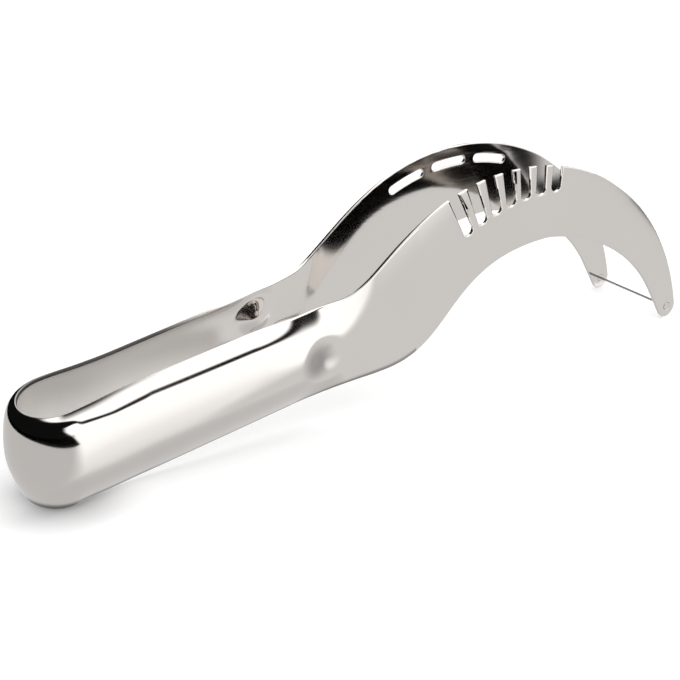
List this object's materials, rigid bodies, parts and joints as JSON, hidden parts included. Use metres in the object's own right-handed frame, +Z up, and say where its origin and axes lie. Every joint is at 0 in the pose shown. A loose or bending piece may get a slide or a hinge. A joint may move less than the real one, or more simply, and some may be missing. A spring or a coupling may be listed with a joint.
{
  "type": "watermelon slicer",
  "caption": "Springy stainless melon slicer and server: bowed curled handle, toothed and slotted crescent blades with hooked tips, and a thin cutting bar between the tips.",
  "frame": {"origin": "centre of the bounding box's bottom face, on the plane that the bow and the tips rest on", "axes": "+X from the bow at the rear to the tips, +Y toward the left blade with the long slots, +Z up"},
  "size_m": [0.2106, 0.029, 0.0588],
  "materials": {
    "strip_steel": "polished",
    "bar_steel": "satin"
  },
  "bodies": {
    "bow": {"handle_bow": "strip_steel"},
    "right_arm": {"right_handle_arm": "strip_steel"},
    "left_arm": {"left_handle_arm": "strip_steel"},
    "right_side_blade": {"right_blade": "strip_steel", "right_bar_rivet": "bar_steel"},
    "left_side_blade": {"left_blade": "strip_steel", "left_bar_rivet": "bar_steel"},
    "bar": {"cutting_bar": "bar_steel"}
  },
  "joints": [
    {"name": "left_squeeze", "type": "hinge", "parent": "bow", "child": "left_arm", "pos_m": [-0.0816, 0.011, 0.0135], "axis": [0, 0, -1], "range_deg": [0, 3], "stiffness_Nm_per_rad": 20},
    {"name": "right_squeeze", "type": "hinge", "parent": "bow", "child": "right_arm", "pos_m": [-0.0816, -0.011, 0.0135], "axis": [0, 0, 1], "range_deg": [0, 3], "stiffness_Nm_per_rad": 20},
    {"name": "left_neck", "type": "hinge", "parent": "left_arm", "child": "left_side_blade", "pos_m": [-0.0076, 0.01239, 0.026], "axis": [0, 0, 1], "range_deg": [0, 5.1], "stiffness_Nm_per_rad": 5},
    {"name": "right_neck", "type": "hinge", "parent": "right_arm", "child": "right_side_blade", "pos_m": [-0.0076, -0.01239, 0.026], "axis": [0, 0, -1], "range_deg": [0, 5.1], "stiffness_Nm_per_rad": 5},
    {"name": "bar_end", "type": "hinge", "parent": "left_side_blade", "child": "bar", "pos_m": [0.1019, 0.01348, 0.0034], "axis": [0, 0, -1], "range_deg": [0, 2.1]}
  ],
  "couplings": [
    {"joint": "right_squeeze", "follows": "left_squeeze", "ratio": 1},
    {"joint": "left_neck", "follows": "left_squeeze", "ratio": 1.676},
    {"joint": "right_neck", "follows": "left_squeeze", "ratio": 1.676},
    {"joint": "bar_end", "follows": "left_squeeze", "ratio": 0.676}
  ]
}
